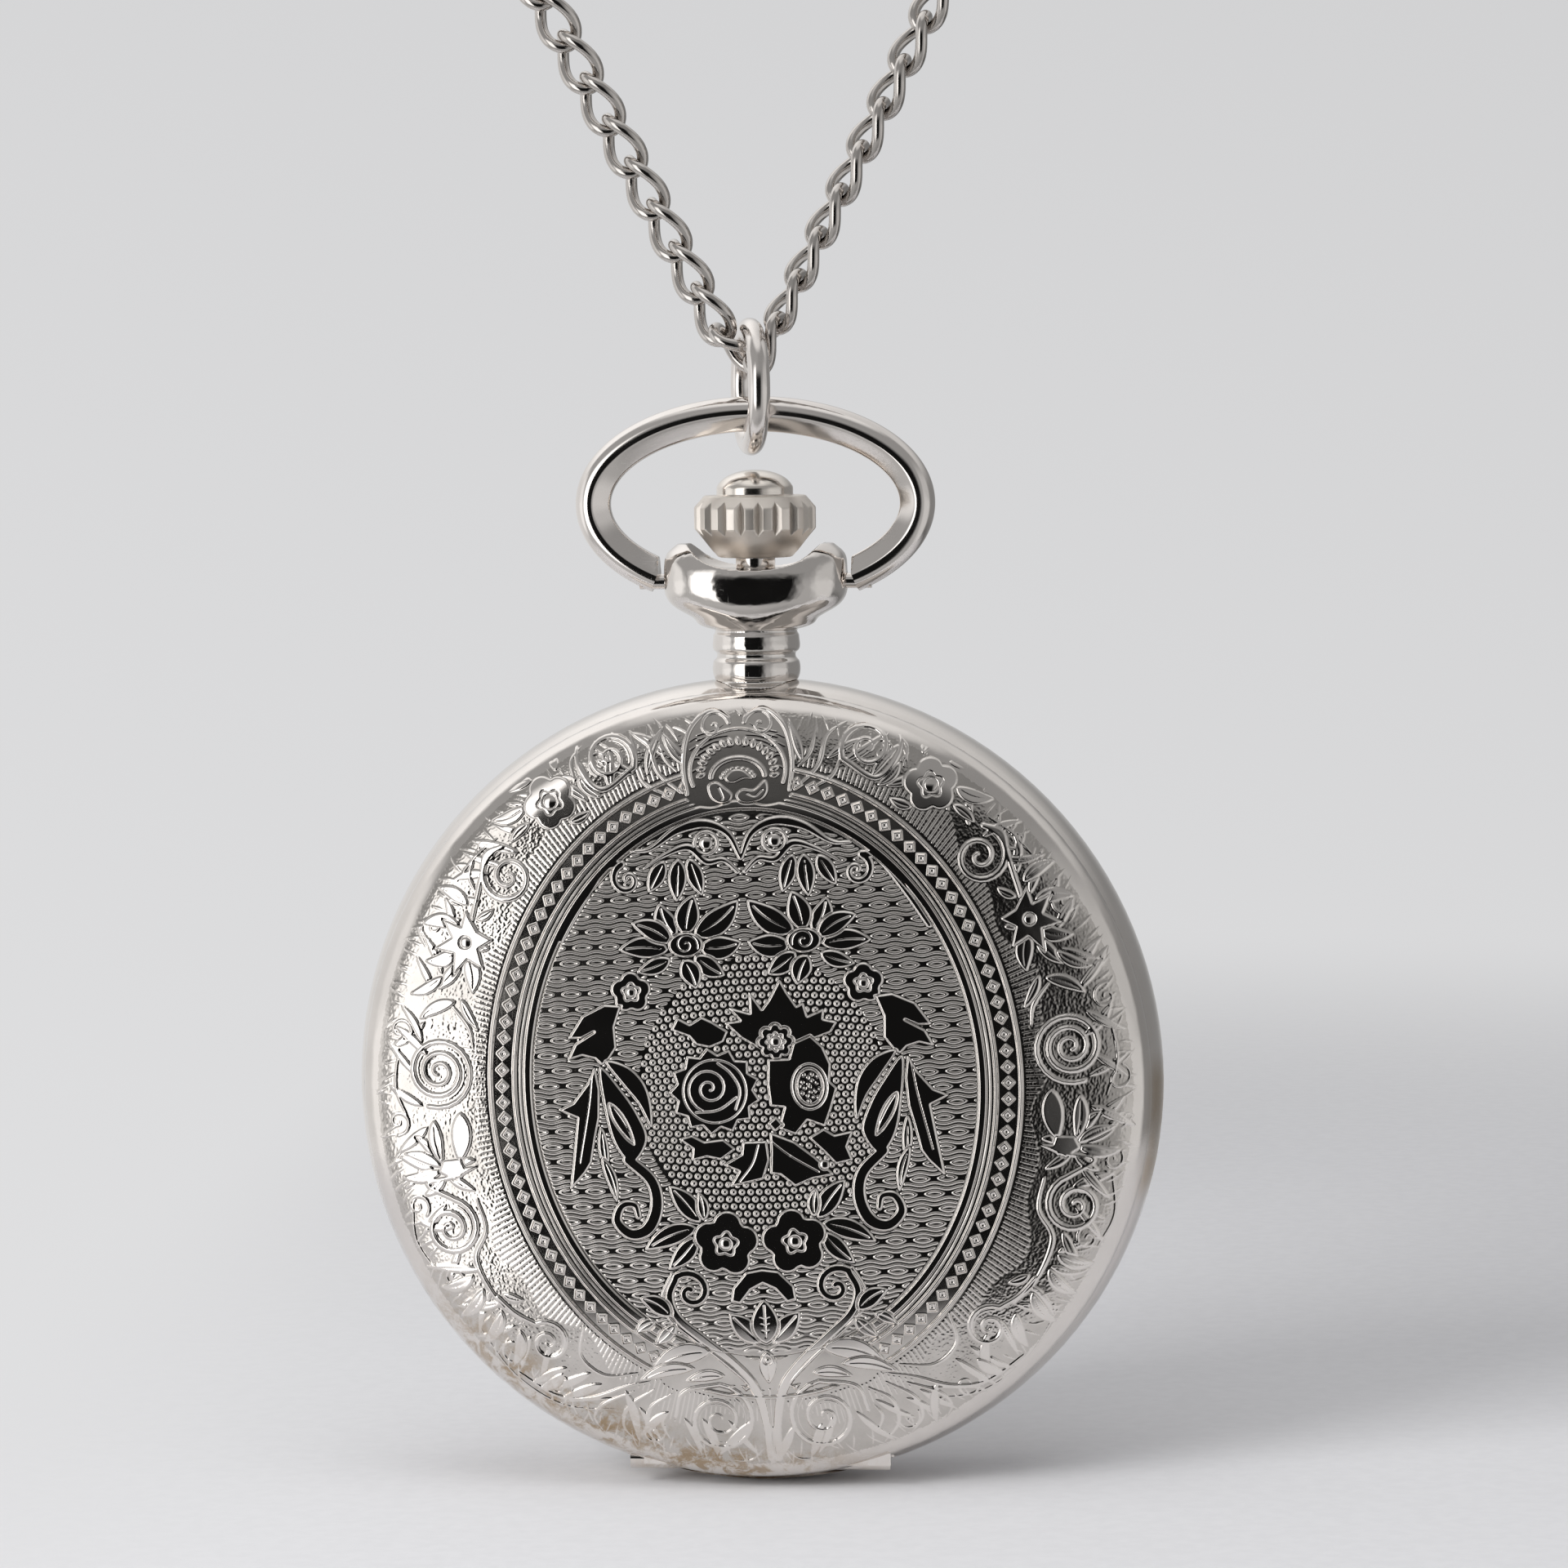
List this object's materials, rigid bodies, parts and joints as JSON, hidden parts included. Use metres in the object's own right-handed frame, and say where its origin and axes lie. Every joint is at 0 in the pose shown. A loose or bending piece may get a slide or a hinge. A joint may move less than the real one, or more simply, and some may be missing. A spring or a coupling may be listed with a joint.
{
  "type": "hunter pocket watch",
  "caption": "Hunter-case pocket watch with hinged relief cover, press crown, bow, jump ring and curb chain around a quartz hand movement.",
  "frame": {"origin": "centre of the flat rest face of the back cover, on the case axis", "axes": "+X to 3 o'clock, the front cover faces -Y, +Z to the crown at 12 o'clock"},
  "size_m": [0.047, 0.0134, 0.0894],
  "materials": {
    "nickel_case": "bright nickel plate, light tarnish",
    "crown_metal": "turned nickel plate, slightly warm",
    "bow_metal": "bright nickel plate",
    "chain_metal": "bright nickel plate",
    "polished_steel": "polished steel",
    "spring_steel": "tempered spring steel",
    "bezel_metal": "satin nickel",
    "gasket_rubber": "matte",
    "watch_glass": "clear",
    "dial_enamel": "white lacquer",
    "hand_black": "black lacquer",
    "ring_plastic": "white moulded",
    "plate_brass": "nickel-plated brass, grained",
    "gear_brass": "gilt",
    "magnet": "sintered magnet",
    "core_iron": "soft iron",
    "coil_copper": "enamelled copper wire",
    "board_green": "solder mask",
    "chip_black": "resin",
    "cell_steel": "bright steel"
  },
  "bodies": {
    "case": {"case_band": "nickel_case", "pendant": "nickel_case", "cover_hinge_pin": "polished_steel", "lift_spring": "spring_steel", "catch_pivot_pin": "polished_steel", "crystal_bezel": "bezel_metal", "crystal_gasket": "gasket_rubber", "crystal": "watch_glass", "dial": "dial_enamel", "movement_ring": "ring_plastic", "main_plate": "plate_brass", "train_bridge": "plate_brass", "bridge_screws": "polished_steel", "stator": "core_iron", "coil_core": "core_iron", "drive_coil": "coil_copper", "coil_screws": "polished_steel", "circuit_board": "board_green", "driver_chip": "chip_black", "quartz_can": "cell_steel", "battery": "cell_steel", "battery_clamp": "cell_steel", "clamp_screw": "polished_steel"},
    "back_cover": {"back_cover": "nickel_case", "back_gasket": "gasket_rubber"},
    "front_cover": {"front_cover": "nickel_case"},
    "push_sleeve": {"push_sleeve": "nickel_case"},
    "lid_catch": {"lid_catch": "spring_steel"},
    "stem_collar": {"stem_collar": "polished_steel"},
    "crown": {"crown": "crown_metal", "stem": "polished_steel"},
    "setting_lever": {"setting_lever": "polished_steel"},
    "minute_train": {"centre_wheel": "gear_brass", "minute_hand": "hand_black"},
    "hour_train": {"hour_wheel": "gear_brass", "hour_hand": "hand_black"},
    "seconds_train": {"seconds_wheel": "gear_brass", "second_hand": "hand_black"},
    "third_wheel": {"third_wheel": "gear_brass"},
    "step_wheel": {"step_wheel": "gear_brass"},
    "rotor": {"rotor_arbor": "polished_steel", "rotor_magnet": "magnet"},
    "minute_wheel": {"minute_wheel": "gear_brass"},
    "setting_wheel": {"setting_wheel": "gear_brass"},
    "bow": {"bow": "bow_metal", "bow_pins": "bow_metal"},
    "jump_ring": {"jump_ring": "bow_metal"},
    "chain_centre": {"chain_centre_link": "chain_metal"},
    "chain_left_a": {"chain_left_a": "chain_metal"},
    "chain_left_b": {"chain_left_b": "chain_metal"},
    "chain_left_c": {"chain_left_c": "chain_metal"},
    "chain_right_a": {"chain_right_a": "chain_metal"},
    "chain_right_b": {"chain_right_b": "chain_metal"},
    "chain_right_c": {"chain_right_c": "chain_metal"}
  },
  "joints": [
    {"name": "back_cover_release", "type": "slide", "parent": "case", "child": "back_cover", "axis": [0, 1, 0], "range_m": [0, 0.014]},
    {"name": "bow_swing", "type": "hinge", "parent": "case", "child": "bow", "pos_m": [0, -0.0066, 0.0291], "axis": [1, 0, 0], "range_deg": [-90, 90]},
    {"name": "cover_hinge", "type": "hinge", "parent": "case", "child": "front_cover", "pos_m": [0, -0.0089, -0.022], "axis": [1, 0, 0], "range_deg": [0, 100]},
    {"name": "crown_press", "type": "slide", "parent": "case", "child": "push_sleeve", "axis": [0, 0, -1], "range_m": [0, 0.0006]},
    {"name": "crown_pull", "type": "slide", "parent": "push_sleeve", "child": "stem_collar", "axis": [0, 0, 1], "range_m": [0, 0.0007]},
    {"name": "lid_catch_swing", "type": "hinge", "parent": "case", "child": "lid_catch", "pos_m": [-0.01256, -0.0066, 0.01608], "axis": [0, 1, 0], "range_deg": [0, 3]},
    {"name": "setting_lever_swing", "type": "hinge", "parent": "case", "child": "setting_lever", "pos_m": [0.0034, -0.0066, 0.0096], "axis": [0, 1, 0], "range_deg": [0, 15]},
    {"name": "minute_hand_turn", "type": "hinge", "parent": "case", "child": "minute_train", "pos_m": [0, -0.0066, 0], "axis": [0, 1, 0], "continuous": true},
    {"name": "hour_hand_turn", "type": "hinge", "parent": "case", "child": "hour_train", "pos_m": [0, -0.0066, 0], "axis": [0, 1, 0], "continuous": true},
    {"name": "second_hand_turn", "type": "hinge", "parent": "case", "child": "seconds_train", "pos_m": [0, -0.0066, 0], "axis": [0, 1, 0], "continuous": true},
    {"name": "third_wheel_turn", "type": "hinge", "parent": "case", "child": "third_wheel", "pos_m": [-0.00383, -0.0066, -0.0014], "axis": [0, 1, 0], "continuous": true},
    {"name": "step_wheel_turn", "type": "hinge", "parent": "case", "child": "step_wheel", "pos_m": [0.0027, -0.0066, -0.00322], "axis": [0, 1, 0], "continuous": true},
    {"name": "rotor_turn", "type": "hinge", "parent": "case", "child": "rotor", "pos_m": [0.00586, -0.0066, -0.00437], "axis": [0, 1, 0], "continuous": true},
    {"name": "minute_wheel_turn", "type": "hinge", "parent": "case", "child": "minute_wheel", "pos_m": [0, -0.0066, 0.003], "axis": [0, 1, 0], "continuous": true},
    {"name": "setting_wheel_turn", "type": "hinge", "parent": "case", "child": "setting_wheel", "pos_m": [0, -0.0066, 0.0065], "axis": [0, 1, 0], "continuous": true},
    {"name": "ring_swing", "type": "hinge", "parent": "bow", "child": "jump_ring", "pos_m": [0, -0.0066, 0.03878], "axis": [1, 0, 0], "range_deg": [-50, 50]},
    {"name": "chain_swing", "type": "hinge", "parent": "jump_ring", "child": "chain_centre", "pos_m": [-0.0002, -0.0066, 0.0437], "axis": [-0.2538, 0.9673, 0], "range_deg": [-10, 10]},
    {"name": "strand_left_1", "type": "hinge", "parent": "chain_centre", "child": "chain_left_a", "pos_m": [-0.00223, -0.00696, 0.04362], "axis": [-0.0545, -0.831, -0.5535], "range_deg": [-6, 6]},
    {"name": "strand_right_1", "type": "hinge", "parent": "chain_centre", "child": "chain_right_a", "pos_m": [0.00032, -0.00575, 0.04155], "axis": [0.6844, -0.3767, 0.6242], "range_deg": [-6, 6]},
    {"name": "strand_left_2", "type": "hinge", "parent": "chain_left_a", "child": "chain_left_b", "pos_m": [-0.00582, -0.00657, 0.05101], "axis": [-0.051, 0.9983, -0.0265], "range_deg": [-15, 15]},
    {"name": "strand_left_3", "type": "hinge", "parent": "chain_left_b", "child": "chain_left_c", "pos_m": [-0.00962, -0.00657, 0.0583], "axis": [-0.1524, 0.9851, -0.0794], "range_deg": [-15, 15]},
    {"name": "strand_right_2", "type": "hinge", "parent": "chain_right_a", "child": "chain_right_b", "pos_m": [0.00402, -0.00653, 0.04926], "axis": [0.3459, 0.922, -0.1739], "range_deg": [-15, 15]},
    {"name": "strand_right_3", "type": "hinge", "parent": "chain_right_b", "child": "chain_right_c", "pos_m": [0.00771, -0.00653, 0.0566], "axis": [0.2489, 0.9604, -0.1251], "range_deg": [-15, 15]},
    {"name": "crown_turn", "type": "hinge", "parent": "stem_collar", "child": "crown", "pos_m": [0, -0.0066, 0.0327], "axis": [0, 0, 1], "continuous": true}
  ],
  "couplings": [
    {"joint": "rotor_turn", "follows": "second_hand_turn", "ratio": 30},
    {"joint": "step_wheel_turn", "follows": "second_hand_turn", "ratio": -5},
    {"joint": "third_wheel_turn", "follows": "second_hand_turn", "ratio": -0.125},
    {"joint": "minute_hand_turn", "follows": "second_hand_turn", "ratio": 0.016667},
    {"joint": "minute_wheel_turn", "follows": "second_hand_turn", "ratio": -0.0055556},
    {"joint": "hour_hand_turn", "follows": "second_hand_turn", "ratio": 0.0013889},
    {"joint": "setting_wheel_turn", "follows": "second_hand_turn", "ratio": 0.01},
    {"joint": "lid_catch_swing", "follows": "crown_press", "rad_per_m": 79.621},
    {"joint": "setting_lever_swing", "follows": "crown_pull", "rad_per_m": 360}
  ]
}
